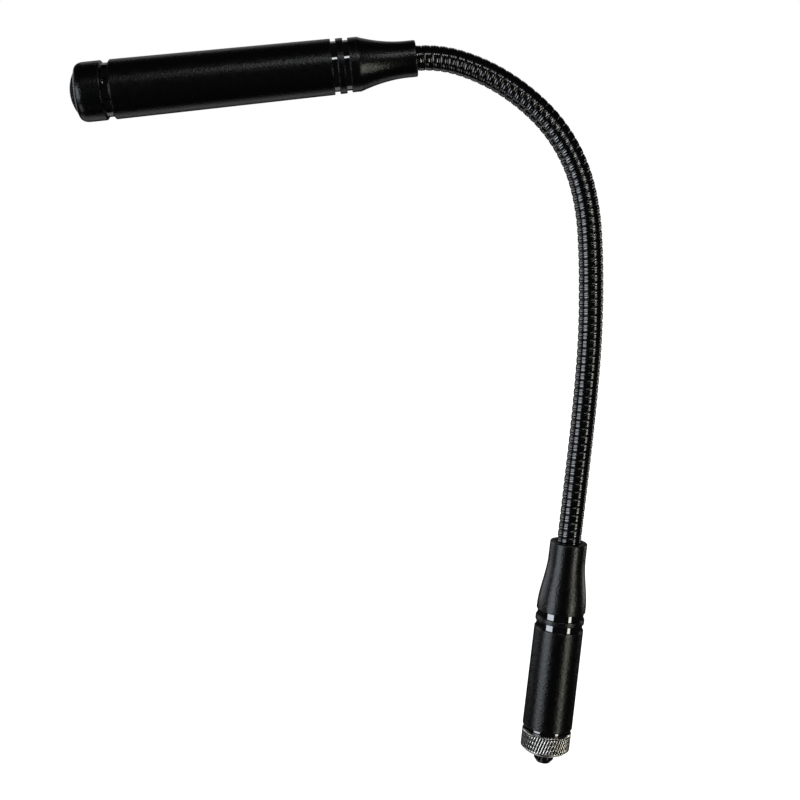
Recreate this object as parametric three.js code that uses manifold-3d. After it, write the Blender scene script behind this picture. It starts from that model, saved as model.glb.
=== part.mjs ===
// Gooseneck podium microphone: a screw-on plug with a knurled coupling ring, a slim base tube,
// a bendable gooseneck, and a long tapered microphone head with a domed grille.
// Millimetres, +Z up. The origin is the centre of the plug's end face, and +Z runs up the base tube.
// The neck lies in the XZ plane and bends towards -X. The head and the base are each turned about
// their own axis: the base about +Z, and the head about an axis that starts at its boot's neck end.
import * as THREE from 'three';
import { mergeVertices } from 'three/addons/utils/BufferGeometryUtils.js';
import Module from 'manifold-3d';

const wasm = await Module();
wasm.setup();

// ---- driving dimensions ----
const GAP = 0.3; // clearance between neighbouring pieces
const SIDES = 24; // facets round a turned piece
const SMALL_SIDES = 12; // facets round a wire, a contact or a cable
const CHAMFER = 0.25; // small edge break on a turned end

// neck: equal segments, each a circular arc, from the base boot to the head boot
const NECK_RADIUS = 4;
const NECK_BORE_RADIUS = 2.5;
const SEGMENT_LENGTH = 14.64;
const REST_BENDS_DEG = [0, 0, 1, 1, 3, 2, 3, 10.5, 16, 16, 12.5, 14, 22.5];
const SWAY_JOINTS = [3, 7, 11]; // joints, counted from the base, that bend the neck sideways
const BEND_LIMIT_DEG = 20; // each joint's bend either way from straight
const NECK_STUB = 10; // length of neck held inside each boot
const CABLE_RADIUS = 1.6;
const NECK_SIDES = 16;

// how each boot holds the neck, and how each coupler joins a boot to its tube
const MOUTH_RADIUS = NECK_RADIUS + GAP; // the boot's mouth, close round the neck
const MOUTH_DEPTH = 2.5;
const FERRULE_RADIUS = NECK_RADIUS + 0.9;
const FERRULE_LENGTH = NECK_STUB + 0.2;
const BOOT_BORE_RADIUS = NECK_RADIUS + 1.2;
const BOOT_EDGE = 0.6; // chamfer at the boot's neck end
const COUPLER_BORE_RADIUS = CABLE_RADIUS + 1;
const SPIGOT_LENGTH = 7; // coupler held inside its tube
const BAND_SEAT = 0.15; // clearance between a trim band and the core under it

// base, heights above the plug's end face
const NOSE_HEIGHT = 4.2;
const RING_LIP_HEIGHT = 1.2;
const RING_TOP = 11.5;
const TUBE_BOTTOM = 12.9;
const TUBE_TOP = 47.3;
const BASE_BAND_BOTTOM = 49.4;
const BASE_BAND_TOP = 51.1;
const BASE_BOOT_BOTTOM = 53.25;
const BASE_BOOT_TOP = 76.7;
const RING_RADIUS = 8.25;
const TUBE_BOTTOM_RADIUS = 8.4;
const TUBE_TOP_RADIUS = 8.2;
const BASE_BORE_RADIUS = 7.2;
const BASE_CORE_RADIUS = 7.7; // glossy core in the grooves
const BASE_BOOT_RADIUS = 8.15;
const BASE_BOOT_NECK_RADIUS = 6.2;
const BASE_SOCKET_RADIUS = 6.9;
const BASE_SOCKET_DEPTH = 5;
const BASE_FLARE_START = 0.9; // above the boot's tube end
const BASE_FLARE_END = 5.5; // below the boot's neck end

// plug
const COLLAR_RADIUS = 8;
const JOURNAL_RADIUS = 5.6;
const JOURNAL_BOTTOM = 9.3;
const BARREL_RADIUS = 4.7;
const BARREL_TOP_RADIUS = 4.9;
const CLIP_GROOVE_RADIUS = 4.8;
const CLIP_GROOVE_HEIGHT = 1;
const CLIP_BORE_RADIUS = 5.1;
const CLIP_RADIUS = 6.2;
const CLIP_THICKNESS = 0.6;
const PLUG_SPIGOT_LENGTH = 9;
const RING_BORE_RADIUS = 6.6;
const RING_LIP_RADIUS = 6.9;
const RING_EDGE = 0.4;
const INSULATOR_RADIUS = 3.9;
const INSULATOR_TOP = 16;
const NOSE_RADIUS = 3.3;
const NOSE_TIP_RADIUS = 2.3;
const NOSE_TAPER = 1.4;
const PLUG_TURN_DEG = 63; // how far the contacts and keyways are turned from +X
const CONTACT_BOTTOM = 0.5;
const CONTACT_TOP = 19;
const CONTACT_RADIUS = 0.45;
const CONTACT_CIRCLE_RADIUS = 1.3;
const CONTACT_COUNT = 3;
const KEYWAY_WIDTH = 1.3;
const KEYWAY_DEPTH = 1.2;

// head, distances forward from the neck end of its boot
const HEAD_SETBACK = 0.6; // how far the boot reaches back over the last neck segment
const HEAD_BOOT_FRONT = 21.15;
const HEAD_BAND_BACK = 22.75;
const HEAD_BAND_FRONT = 25;
const HEAD_TUBE_BACK = 26.6;
const HEAD_TUBE_FRONT = 96.65;
const FRONT_RING_BACK = 98.5;
const FRONT_RING_FRONT = 107.4;
const HEAD_LENGTH = 109.75;
const FRONT_RADIUS = 9.4;
const GROOVE_CHAMFER = 0.5; // either side of the groove behind the front ring
const RIM_DEPTH = 2.9; // length of the front ring's rounded rim
const RIM_RADIUS = 7.6; // opening in the front ring
const RIM_THICKNESS = 1.3;
const HEAD_TUBE_BACK_RADIUS = 8.8;
const HEAD_BAND_RADIUS = 8.7;
const HEAD_CORE_RADIUS = 7.9;
const HEAD_BORE_RADIUS = 7.85;
const HEAD_BOOT_RADIUS = 8.55;
const HEAD_BOOT_NECK_RADIUS = 5.75;
const HEAD_SOCKET_RADIUS = 6.8;
const HEAD_SOCKET_DEPTH = 4.6;
const HEAD_FLARE_START = 3.2; // forward from the boot's neck end
const HEAD_FLARE_END = 2.4; // back from the boot's tube end
const PORT_CORE_RADIUS = 8.5;
const PORT_COUNT = 10;
const PORT_WIDTH = 1.6;
const PORT_DEPTH = 1.8;
const GRILLE_SPHERE_RADIUS = 12.5;
const GRILLE_RADIUS = 7.3;
const GRILLE_THICKNESS = 0.5;
const GRILLE_HEM = 1;
const FOAM_RADIUS = 6.4;
const CAPSULE_RADIUS = 4.85;
const CAPSULE_LENGTH = 5;
const CAPSULE_BACK = 99.6;
const CARRIER_BORE_RADIUS = 6.8;
const CARRIER_BACK = 90.65;
const CARRIER_FRONT = 104.2;
const CAPSULE_BOOT_LENGTH = 5;
const BOARD_BACK = 38;
const BOARD_LENGTH = 50;
const BOARD_WIDTH = 13;
const BOARD_THICKNESS = 1.2;
const TRANSISTOR_SIZE = [2.9, 1.1, 2.4]; // across the board, off it, and along it
const TRANSISTOR_SETBACK = 9; // back from the board's front edge
const COUPLING_SIZE = [7, 3.6, 6];
const COUPLING_SETBACK = 19;
const FILTER_CAN_RADIUS = 2.5;
const FILTER_CAN_LENGTH = 8;
const FILTER_CAN_SETBACK = 12; // forward from the board's back edge
const LEAD_RADIUS = 0.4;
const LEAD_CAPSULE_OFFSET = 1.3;
const LEAD_BOARD_OFFSET = 2.2;
const LEAD_SETBACK = 3;

// ---- colours and finishes ----
const finish = (color, roughness, metalness) =>
  new THREE.MeshStandardMaterial({ color, roughness, metalness });
const satinBlack = finish(0x17171a, 0.55, 0.2);
const glossBlack = finish(0x08080a, 0.15, 0.3);
const coilBlack = finish(0x0c0c0e, 0.25, 0.7);
const nickel = finish(0x9a948c, 0.3, 0.9);
const darkMetal = finish(0x2c2c2e, 0.4, 0.8);
const brass = finish(0xb9965a, 0.35, 0.9);
const rubberBlack = finish(0x101012, 0.8, 0);
const foamBlack = finish(0x1c1c1c, 0.95, 0);
const plasticBlack = finish(0x0e0e10, 0.4, 0);
const boardGreen = finish(0x1f5a36, 0.5, 0);
const capacitorBlue = finish(0x26364f, 0.4, 0);
const leadRed = finish(0x8c2a22, 0.5, 0);
const leadWhite = finish(0xd8d6cf, 0.5, 0);

// ---- shaping helpers ----
const point = (x, y) => new THREE.Vector2(x, y);

function toManifold(geometry) {
  const bare = geometry.clone().deleteAttribute('normal').deleteAttribute('uv');
  const merged = mergeVertices(bare, 1e-4);
  const vertProperties = new Float32Array(merged.attributes.position.array);
  const triVerts = new Uint32Array(merged.index.array);
  return new wasm.Manifold(new wasm.Mesh({ numProp: 3, vertProperties, triVerts }));
}

function fromManifold(solid) {
  const mesh = solid.getMesh();
  const geometry = new THREE.BufferGeometry();
  geometry.setAttribute('position', new THREE.BufferAttribute(mesh.vertProperties, 3));
  geometry.setIndex(new THREE.BufferAttribute(mesh.triVerts, 1));
  geometry.computeVertexNormals();
  return geometry;
}

const cut = (body, tools) =>
  fromManifold(tools.reduce((solid, tool) => solid.subtract(toManifold(tool)), toManifold(body)));

// Turns an outline of [radius, height] points about Z. It starts and ends on the axis, or closes on itself.
function turned(outline, sides = SIDES) {
  const points = outline.map(([r, z]) => point(r, z));
  const onAxis = outline[0][0] === 0 && outline[outline.length - 1][0] === 0;
  if (!onAxis) points.push(points[0].clone());
  return new THREE.LatheGeometry(points, sides).rotateX(Math.PI / 2);
}

// A plain ring or sleeve between two heights.
const sleeve = (inner, outer, bottom, top, sides = SIDES) =>
  turned([[inner, bottom], [outer, bottom], [outer, top], [inner, top]], sides);

// A plain rod between two heights.
const rod = (radius, bottom, top, sides = SMALL_SIDES) =>
  turned([[0, bottom], [radius, bottom], [radius, top], [0, top]], sides);

// Heights spread evenly from bottom to top, with the radius that shape(0..1) gives at each.
function flare(bottom, top, steps, shape) {
  const rows = [];
  for (let i = 0; i <= steps; i++) rows.push([shape(i / steps), bottom + ((top - bottom) * i) / steps]);
  return rows;
}

const smooth = (t) => t * t * (3 - 2 * t);
const radians = THREE.MathUtils.degToRad;

function part(name, geometry, material, parent) {
  const mesh = new THREE.Mesh(geometry, material);
  mesh.name = name;
  parent.add(mesh);
  return mesh;
}

// ---- neck centreline: one arc after another ----
// The place and heading a distance along an arc, from a start place and heading in the XZ plane.
function alongArc(start, distance, bend) {
  const turn = (bend * distance) / SEGMENT_LENGTH;
  const half = start.heading + turn / 2;
  const chord = turn === 0 ? distance : (distance * Math.sin(turn / 2)) / (turn / 2);
  return {
    x: start.x - chord * Math.sin(half),
    z: start.z + chord * Math.cos(half),
    heading: start.heading + turn,
  };
}

const bends = REST_BENDS_DEG.map(radians);
const stations = [{ x: 0, z: BASE_BOOT_TOP, heading: 0 }];
for (const bend of bends) {
  stations.push(alongArc(stations[stations.length - 1], SEGMENT_LENGTH, bend));
}
const neckEnd = stations[stations.length - 1];

// Moves a straight piece, made along Z from height 0, onto a segment's arc. It runs straight past the
// arc's ends.
function bentAlong(geometry, start, bend) {
  const positions = geometry.attributes.position;
  for (let i = 0; i < positions.count; i++) {
    const distance = THREE.MathUtils.clamp(positions.getZ(i), 0, SEGMENT_LENGTH);
    const past = positions.getZ(i) - distance;
    const place = alongArc(start, distance, bend);
    const across = positions.getX(i);
    const x = place.x + across * Math.cos(place.heading) - past * Math.sin(place.heading);
    const z = place.z + across * Math.sin(place.heading) + past * Math.cos(place.heading);
    positions.setXYZ(i, x, positions.getY(i), z);
  }
  geometry.computeVertexNormals();
  return geometry;
}

// How far a segment's end stands back from its joint, per millimetre of radius, so that the joint can turn.
function clearanceSlope(joint) {
  const restBend = SWAY_JOINTS.includes(joint) ? 0 : (REST_BENDS_DEG[joint - 1] + REST_BENDS_DEG[joint]) / 2;
  return Math.tan(radians(BEND_LIMIT_DEG + restBend) / 2);
}

function tubeOutline(inner, outer, low, high, steps) {
  const outside = flare(low(outer), high(outer), steps, () => outer);
  if (inner === 0) return [[0, low(0)], ...outside, [0, high(0)]];
  return [...outside, ...flare(high(inner), low(inner), steps, () => inner)];
}

function buildNeck(parent) {
  const last = bends.length;
  bends.forEach((bend, i) => {
    const label = String(i + 1).padStart(2, '0');
    const low = (r) => (i === 0 ? -NECK_STUB : GAP / 2 + r * clearanceSlope(i));
    const high = (r) => SEGMENT_LENGTH + (i === last - 1 ? NECK_STUB : -GAP / 2 - r * clearanceSlope(i + 1));
    const steps = Math.ceil(1 + REST_BENDS_DEG[i] / 6);
    const shell = turned(tubeOutline(NECK_BORE_RADIUS, NECK_RADIUS, low, high, steps), NECK_SIDES);
    const core = turned(tubeOutline(0, CABLE_RADIUS, low, high, steps), SMALL_SIDES);
    part(`neck_segment_${label}`, bentAlong(shell, stations[i], bend), coilBlack, parent);
    part(`neck_cable_${label}`, bentAlong(core, stations[i], bend), rubberBlack, parent);
  });
}

// ---- base ----
const baseBootShape = (t) =>
  BASE_BOOT_RADIUS + (BASE_BOOT_NECK_RADIUS - BASE_BOOT_RADIUS) * smooth(t);

function buildBase(parent) {
  const socketTop = BASE_BOOT_BOTTOM + BASE_SOCKET_DEPTH;
  const mouth = BASE_BOOT_TOP - MOUTH_DEPTH;
  const spigotRadius = BASE_BORE_RADIUS - GAP;
  const bootSpigotRadius = BASE_SOCKET_RADIUS - GAP;
  part('base_boot', turned([
    [BASE_BOOT_RADIUS, BASE_BOOT_BOTTOM],
    ...flare(BASE_BOOT_BOTTOM + BASE_FLARE_START, BASE_BOOT_TOP - BASE_FLARE_END, 8, baseBootShape),
    [BASE_BOOT_NECK_RADIUS, BASE_BOOT_TOP - BOOT_EDGE],
    [BASE_BOOT_NECK_RADIUS - BOOT_EDGE, BASE_BOOT_TOP],
    [MOUTH_RADIUS, BASE_BOOT_TOP],
    [MOUTH_RADIUS, mouth],
    [BOOT_BORE_RADIUS, mouth],
    [BOOT_BORE_RADIUS, socketTop],
    [BASE_SOCKET_RADIUS, socketTop],
    [BASE_SOCKET_RADIUS, BASE_BOOT_BOTTOM],
  ]), satinBlack, parent);
  const ferruleTop = mouth - GAP;
  part('base_ferrule',
    sleeve(MOUTH_RADIUS, FERRULE_RADIUS, ferruleTop - FERRULE_LENGTH, ferruleTop), darkMetal, parent);
  part('base_coupler', turned([
    [COUPLER_BORE_RADIUS, TUBE_TOP - SPIGOT_LENGTH],
    [spigotRadius, TUBE_TOP - SPIGOT_LENGTH],
    [spigotRadius, TUBE_TOP + GAP],
    [BASE_CORE_RADIUS, TUBE_TOP + GAP],
    [BASE_CORE_RADIUS, BASE_BOOT_BOTTOM - GAP],
    [bootSpigotRadius, BASE_BOOT_BOTTOM - GAP],
    [bootSpigotRadius, socketTop - GAP],
    [COUPLER_BORE_RADIUS, socketTop - GAP],
  ]), glossBlack, parent);
  const bandBore = BASE_CORE_RADIUS + BAND_SEAT;
  const band = sleeve(bandBore, BASE_BOOT_RADIUS, BASE_BAND_BOTTOM, BASE_BAND_TOP);
  part('base_trim_band', band, satinBlack, parent);
  part('base_tube', turned([
    [BASE_BORE_RADIUS, TUBE_BOTTOM],
    [TUBE_BOTTOM_RADIUS - CHAMFER, TUBE_BOTTOM],
    [TUBE_BOTTOM_RADIUS, TUBE_BOTTOM + CHAMFER],
    [TUBE_TOP_RADIUS, TUBE_TOP - CHAMFER],
    [TUBE_TOP_RADIUS - CHAMFER, TUBE_TOP],
    [BASE_BORE_RADIUS, TUBE_TOP],
  ]), satinBlack, parent);
  const cableBottom = CONTACT_TOP + 3;
  part('base_cable', rod(CABLE_RADIUS, cableBottom, BASE_BOOT_TOP - NECK_STUB - GAP), rubberBlack, parent);
}

function buildPlug(parent) {
  const barrelBottom = NOSE_HEIGHT + 2 * GAP;
  const grooveBottom = JOURNAL_BOTTOM - CLIP_GROOVE_HEIGHT;
  const spigotTop = TUBE_BOTTOM + PLUG_SPIGOT_LENGTH;
  part('plug_shell', turned([
    [INSULATOR_RADIUS + GAP, barrelBottom],
    [BARREL_RADIUS, barrelBottom],
    [BARREL_TOP_RADIUS, grooveBottom],
    [CLIP_GROOVE_RADIUS, grooveBottom],
    [CLIP_GROOVE_RADIUS, JOURNAL_BOTTOM],
    [JOURNAL_RADIUS, JOURNAL_BOTTOM],
    [JOURNAL_RADIUS, RING_TOP + GAP],
    [COLLAR_RADIUS, RING_TOP + GAP],
    [COLLAR_RADIUS, TUBE_BOTTOM - GAP],
    [BASE_BORE_RADIUS - GAP, TUBE_BOTTOM - GAP],
    [BASE_BORE_RADIUS - GAP, spigotTop],
    [INSULATOR_RADIUS + GAP, spigotTop],
  ]), glossBlack, parent);
  const clipBottom = (grooveBottom + JOURNAL_BOTTOM - CLIP_THICKNESS) / 2;
  part('ring_clip',
    sleeve(CLIP_BORE_RADIUS, CLIP_RADIUS, clipBottom, clipBottom + CLIP_THICKNESS), nickel, parent);
  part('coupling_ring', turned([
    [RING_BORE_RADIUS, NOSE_HEIGHT],
    [RING_LIP_RADIUS, NOSE_HEIGHT],
    [RING_RADIUS - RING_EDGE / 2, NOSE_HEIGHT + RING_LIP_HEIGHT],
    [RING_RADIUS, NOSE_HEIGHT + RING_LIP_HEIGHT + RING_EDGE / 2],
    [RING_RADIUS, RING_TOP - RING_EDGE],
    [RING_RADIUS - RING_EDGE, RING_TOP],
    [JOURNAL_RADIUS + GAP, RING_TOP],
    [JOURNAL_RADIUS + GAP, JOURNAL_BOTTOM + GAP],
    [RING_BORE_RADIUS, JOURNAL_BOTTOM + GAP],
  ]), nickel, parent);

  const blank = turned([
    [0, 0],
    [NOSE_TIP_RADIUS, 0],
    [NOSE_RADIUS, NOSE_TAPER],
    [NOSE_RADIUS, barrelBottom - GAP],
    [INSULATOR_RADIUS, barrelBottom + GAP],
    [INSULATOR_RADIUS, INSULATOR_TOP],
    [0, INSULATOR_TOP],
  ]);
  const tools = [];
  for (let i = 0; i < CONTACT_COUNT; i++) {
    const angle = radians(PLUG_TURN_DEG) + (i * 2 * Math.PI) / CONTACT_COUNT;
    const x = CONTACT_CIRCLE_RADIUS * Math.cos(angle);
    const y = CONTACT_CIRCLE_RADIUS * Math.sin(angle);
    tools.push(rod(CONTACT_RADIUS + GAP, -1, INSULATOR_TOP + 1).translate(x, y, 0));
    const keyway = new THREE.BoxGeometry(2 * KEYWAY_DEPTH, KEYWAY_WIDTH, NOSE_HEIGHT);
    keyway.translate(NOSE_RADIUS, 0, NOSE_HEIGHT / 2 - 1).rotateZ(angle + Math.PI / CONTACT_COUNT);
    tools.push(keyway);
    const contact = rod(CONTACT_RADIUS, CONTACT_BOTTOM, CONTACT_TOP).translate(x, y, 0);
    part(`plug_contact_${i + 1}`, contact, brass, parent);
  }
  part('plug_insulator', cut(blank, tools), plasticBlack, parent);
}

// ---- head ----
const grilleHeight = (r, sphere) => HEAD_LENGTH - GRILLE_SPHERE_RADIUS + Math.sqrt(sphere * sphere - r * r);

// A dome's outline from the axis out to a radius.
function domeRows(radius, sphere, steps) {
  const rows = [];
  for (let i = 0; i <= steps; i++) {
    const r = (radius * i) / steps;
    rows.push([r, grilleHeight(r, sphere)]);
  }
  return rows;
}

const headBootShape = (t) =>
  HEAD_BOOT_NECK_RADIUS + (HEAD_BOOT_RADIUS - HEAD_BOOT_NECK_RADIUS) * t ** 1.9;

// The front ring's rim: a quarter of an ellipse, from the cylinder to the opening.
function rimRows(steps) {
  const rows = [];
  for (let i = 0; i <= steps; i++) {
    const angle = (i * Math.PI) / 2 / steps;
    const r = RIM_RADIUS + (FRONT_RADIUS - RIM_RADIUS) * Math.cos(angle);
    rows.push([r, FRONT_RING_FRONT - RIM_DEPTH * (1 - Math.sin(angle))]);
  }
  return rows;
}

function buildHeadShells(parent) {
  const socketBack = HEAD_BOOT_FRONT - HEAD_SOCKET_DEPTH;
  const bootSpigotRadius = HEAD_SOCKET_RADIUS - GAP;
  const spigotRadius = HEAD_BORE_RADIUS - GAP;
  part('head_boot', turned([
    [MOUTH_RADIUS, 0],
    [HEAD_BOOT_NECK_RADIUS - BOOT_EDGE, 0],
    [HEAD_BOOT_NECK_RADIUS, BOOT_EDGE],
    ...flare(HEAD_FLARE_START, HEAD_BOOT_FRONT - HEAD_FLARE_END, 8, headBootShape),
    [HEAD_BOOT_RADIUS, HEAD_BOOT_FRONT],
    [HEAD_SOCKET_RADIUS, HEAD_BOOT_FRONT],
    [HEAD_SOCKET_RADIUS, socketBack],
    [BOOT_BORE_RADIUS, socketBack],
    [BOOT_BORE_RADIUS, MOUTH_DEPTH],
    [MOUTH_RADIUS, MOUTH_DEPTH],
  ]), satinBlack, parent);
  const ferruleBack = MOUTH_DEPTH + GAP;
  part('head_ferrule',
    sleeve(MOUTH_RADIUS, FERRULE_RADIUS, ferruleBack, ferruleBack + FERRULE_LENGTH), darkMetal, parent);
  part('head_coupler', turned([
    [COUPLER_BORE_RADIUS, socketBack + GAP],
    [bootSpigotRadius, socketBack + GAP],
    [bootSpigotRadius, HEAD_BOOT_FRONT + GAP],
    [HEAD_CORE_RADIUS, HEAD_BOOT_FRONT + GAP],
    [HEAD_CORE_RADIUS, HEAD_TUBE_BACK - GAP],
    [spigotRadius, HEAD_TUBE_BACK - GAP],
    [spigotRadius, HEAD_TUBE_BACK + SPIGOT_LENGTH],
    [COUPLER_BORE_RADIUS, HEAD_TUBE_BACK + SPIGOT_LENGTH],
  ]), glossBlack, parent);
  const bandBore = HEAD_CORE_RADIUS + BAND_SEAT;
  const band = sleeve(bandBore, HEAD_BAND_RADIUS, HEAD_BAND_BACK, HEAD_BAND_FRONT);
  part('head_trim_band', band, satinBlack, parent);
  part('head_tube', turned([
    [HEAD_BORE_RADIUS, HEAD_TUBE_BACK],
    [HEAD_TUBE_BACK_RADIUS - CHAMFER, HEAD_TUBE_BACK],
    [HEAD_TUBE_BACK_RADIUS, HEAD_TUBE_BACK + CHAMFER],
    [FRONT_RADIUS, HEAD_TUBE_FRONT - GROOVE_CHAMFER],
    [FRONT_RADIUS - GROOVE_CHAMFER, HEAD_TUBE_FRONT],
    [HEAD_BORE_RADIUS, HEAD_TUBE_FRONT],
  ]), satinBlack, parent);
  part('front_ring', turned([
    [HEAD_BORE_RADIUS, FRONT_RING_BACK],
    [FRONT_RADIUS - GROOVE_CHAMFER, FRONT_RING_BACK],
    [FRONT_RADIUS, FRONT_RING_BACK + GROOVE_CHAMFER],
    ...rimRows(5),
    [RIM_RADIUS, FRONT_RING_FRONT - RIM_THICKNESS],
    [HEAD_BORE_RADIUS, FRONT_RING_FRONT - RIM_THICKNESS],
  ]), satinBlack, parent);
  part('front_grille', turned([
    ...domeRows(GRILLE_RADIUS - GRILLE_THICKNESS, GRILLE_SPHERE_RADIUS - GRILLE_THICKNESS, 5),
    [GRILLE_RADIUS, FRONT_RING_FRONT - GRILLE_HEM],
    ...domeRows(GRILLE_RADIUS, GRILLE_SPHERE_RADIUS, 6).reverse(),
  ]), darkMetal, parent);
}

function buildCapsule(parent) {
  const spigot = HEAD_BORE_RADIUS - GAP;
  const blank = turned([
    [CARRIER_BORE_RADIUS, CARRIER_BACK],
    [spigot, CARRIER_BACK],
    [spigot, HEAD_TUBE_FRONT + GAP],
    [PORT_CORE_RADIUS, HEAD_TUBE_FRONT + GAP],
    [PORT_CORE_RADIUS, FRONT_RING_BACK - GAP],
    [spigot, FRONT_RING_BACK - GAP],
    [spigot, CARRIER_FRONT],
    [CARRIER_BORE_RADIUS, CARRIER_FRONT],
  ]);
  const portHeight = FRONT_RING_BACK - HEAD_TUBE_FRONT - 3 * GAP;
  const ports = [];
  for (let i = 0; i < PORT_COUNT; i++) {
    const port = new THREE.BoxGeometry(2 * PORT_DEPTH, PORT_WIDTH, portHeight);
    port.translate(PORT_CORE_RADIUS, 0, (HEAD_TUBE_FRONT + FRONT_RING_BACK) / 2);
    ports.push(port.rotateZ((i * 2 * Math.PI) / PORT_COUNT));
  }
  part('capsule_carrier', cut(blank, ports), glossBlack, parent);
  part('capsule', rod(CAPSULE_RADIUS, CAPSULE_BACK, CAPSULE_BACK + CAPSULE_LENGTH, SIDES), nickel, parent);
  const bootBack = CAPSULE_BACK - 1;
  const bootFront = bootBack + CAPSULE_BOOT_LENGTH;
  part('capsule_boot', turned([
    [CAPSULE_RADIUS - 1, bootBack],
    [CARRIER_BORE_RADIUS - GAP, bootBack],
    [CARRIER_BORE_RADIUS - GAP, bootFront],
    [CAPSULE_RADIUS + GAP, bootFront],
    [CAPSULE_RADIUS + GAP, CAPSULE_BACK - GAP],
    [CAPSULE_RADIUS - 1, CAPSULE_BACK - GAP],
  ]), rubberBlack, parent);
  const foamBack = CAPSULE_BACK + CAPSULE_LENGTH + GAP;
  part('foam_disc', turned([
    [0, foamBack],
    [FOAM_RADIUS, foamBack],
    ...domeRows(FOAM_RADIUS, GRILLE_SPHERE_RADIUS - GRILLE_THICKNESS - GAP, 4).reverse(),
  ]), foamBlack, parent);
}

// A wire from one place to another that leaves and arrives along the head's axis.
function wire(from, to, radius) {
  const middle = (from.z + to.z) / 2;
  const path = new THREE.CubicBezierCurve3(
    from, new THREE.Vector3(from.x, from.y, middle), new THREE.Vector3(to.x, to.y, middle), to);
  const section = new THREE.Shape().absarc(0, 0, radius, 0, 2 * Math.PI);
  const options = { extrudePath: path, steps: 8, curveSegments: 4, bevelEnabled: false };
  return new THREE.ExtrudeGeometry(section, options);
}

function buildElectronics(parent) {
  const boardFront = BOARD_BACK + BOARD_LENGTH;
  const board = new THREE.BoxGeometry(BOARD_WIDTH, BOARD_THICKNESS, BOARD_LENGTH);
  part('preamp_board', board, boardGreen, parent).position.set(0, 0, (BOARD_BACK + boardFront) / 2);
  const surface = BOARD_THICKNESS / 2 + GAP;
  const [transistorWidth, transistorHeight, transistorLength] = TRANSISTOR_SIZE;
  const transistor = new THREE.BoxGeometry(transistorWidth, transistorHeight, transistorLength);
  part('board_transistor', transistor, plasticBlack, parent)
    .position.set(0, surface + transistorHeight / 2, boardFront - TRANSISTOR_SETBACK);
  const [couplingWidth, couplingHeight, couplingLength] = COUPLING_SIZE;
  const coupling = new THREE.BoxGeometry(couplingWidth, couplingHeight, couplingLength);
  part('coupling_capacitor', coupling, capacitorBlue, parent)
    .position.set(0, surface + couplingHeight / 2, boardFront - COUPLING_SETBACK);
  const can = rod(FILTER_CAN_RADIUS, 0, FILTER_CAN_LENGTH, SMALL_SIDES);
  part('filter_capacitor', can, darkMetal, parent)
    .position.set(0, surface + FILTER_CAN_RADIUS, BOARD_BACK + FILTER_CAN_SETBACK);
  [[1, leadRed], [-1, leadWhite]].forEach(([side, material], i) => {
    const from = new THREE.Vector3(side * LEAD_CAPSULE_OFFSET, 0, CAPSULE_BACK - GAP);
    const to = new THREE.Vector3(side * LEAD_BOARD_OFFSET, surface + LEAD_RADIUS, boardFront - LEAD_SETBACK);
    part(`capsule_lead_${i + 1}`, wire(from, to, LEAD_RADIUS), material, parent);
  });
  const cableBack = NECK_STUB + HEAD_SETBACK + GAP;
  part('head_cable', rod(CABLE_RADIUS, cableBack, BOARD_BACK - GAP), rubberBlack, parent);
}

// ---- assembly ----
const group = new THREE.Group();
buildPlug(group);
buildBase(group);
buildNeck(group);

const head = new THREE.Group();
head.position.set(neckEnd.x, 0, neckEnd.z);
head.rotation.y = -neckEnd.heading;
head.translateZ(-HEAD_SETBACK);
buildHeadShells(head);
buildCapsule(head);
buildElectronics(head);
group.add(head);

export default group;
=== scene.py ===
"""Gooseneck podium microphone: the visual model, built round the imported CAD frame.

Sizes are in millimetres up to the point where a mesh is made. Meshes are in metres in the CAD's frame:
+Z runs up the base tube, and the neck bends towards -X in the XZ plane.
"""
import math

import bmesh
import bpy
from mathutils import Matrix, Vector


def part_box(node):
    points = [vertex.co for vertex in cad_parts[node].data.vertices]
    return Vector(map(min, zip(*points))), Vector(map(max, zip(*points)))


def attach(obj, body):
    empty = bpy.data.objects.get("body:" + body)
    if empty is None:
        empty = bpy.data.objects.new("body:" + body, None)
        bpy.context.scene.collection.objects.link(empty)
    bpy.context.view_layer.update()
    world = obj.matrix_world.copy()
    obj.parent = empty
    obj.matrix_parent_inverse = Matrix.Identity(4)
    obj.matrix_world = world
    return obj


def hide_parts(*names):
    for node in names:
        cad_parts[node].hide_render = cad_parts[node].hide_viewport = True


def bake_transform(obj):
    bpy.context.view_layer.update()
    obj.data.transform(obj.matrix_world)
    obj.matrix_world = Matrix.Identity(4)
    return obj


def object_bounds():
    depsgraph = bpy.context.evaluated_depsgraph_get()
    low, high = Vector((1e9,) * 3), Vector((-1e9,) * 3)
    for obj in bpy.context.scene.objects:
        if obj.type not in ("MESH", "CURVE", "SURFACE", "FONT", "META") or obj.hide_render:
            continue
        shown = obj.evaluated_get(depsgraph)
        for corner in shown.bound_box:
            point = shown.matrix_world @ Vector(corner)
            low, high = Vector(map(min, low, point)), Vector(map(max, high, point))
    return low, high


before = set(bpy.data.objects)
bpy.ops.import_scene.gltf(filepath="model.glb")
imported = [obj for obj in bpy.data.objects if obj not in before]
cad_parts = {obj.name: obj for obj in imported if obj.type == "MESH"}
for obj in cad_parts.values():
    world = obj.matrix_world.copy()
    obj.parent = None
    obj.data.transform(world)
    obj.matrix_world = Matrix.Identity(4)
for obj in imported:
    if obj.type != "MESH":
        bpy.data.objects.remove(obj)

MM = 0.001
cad_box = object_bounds()

# ---- camera, at the photograph's viewing angle ----
CAMERA_PLACE = (-89.5, -482.9, 196.3)
CAMERA_AIM = (0.0458, 0.9901, -0.1329)  # direction
CAMERA_ROLL_DEG = 5.7
CAMERA_LENS = 67.5
CAMERA_SENSOR = 36
CAMERA_SHIFT = (0.02, -0.05)
CAMERA_CLIP = (0.01, 20)  # metres

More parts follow.
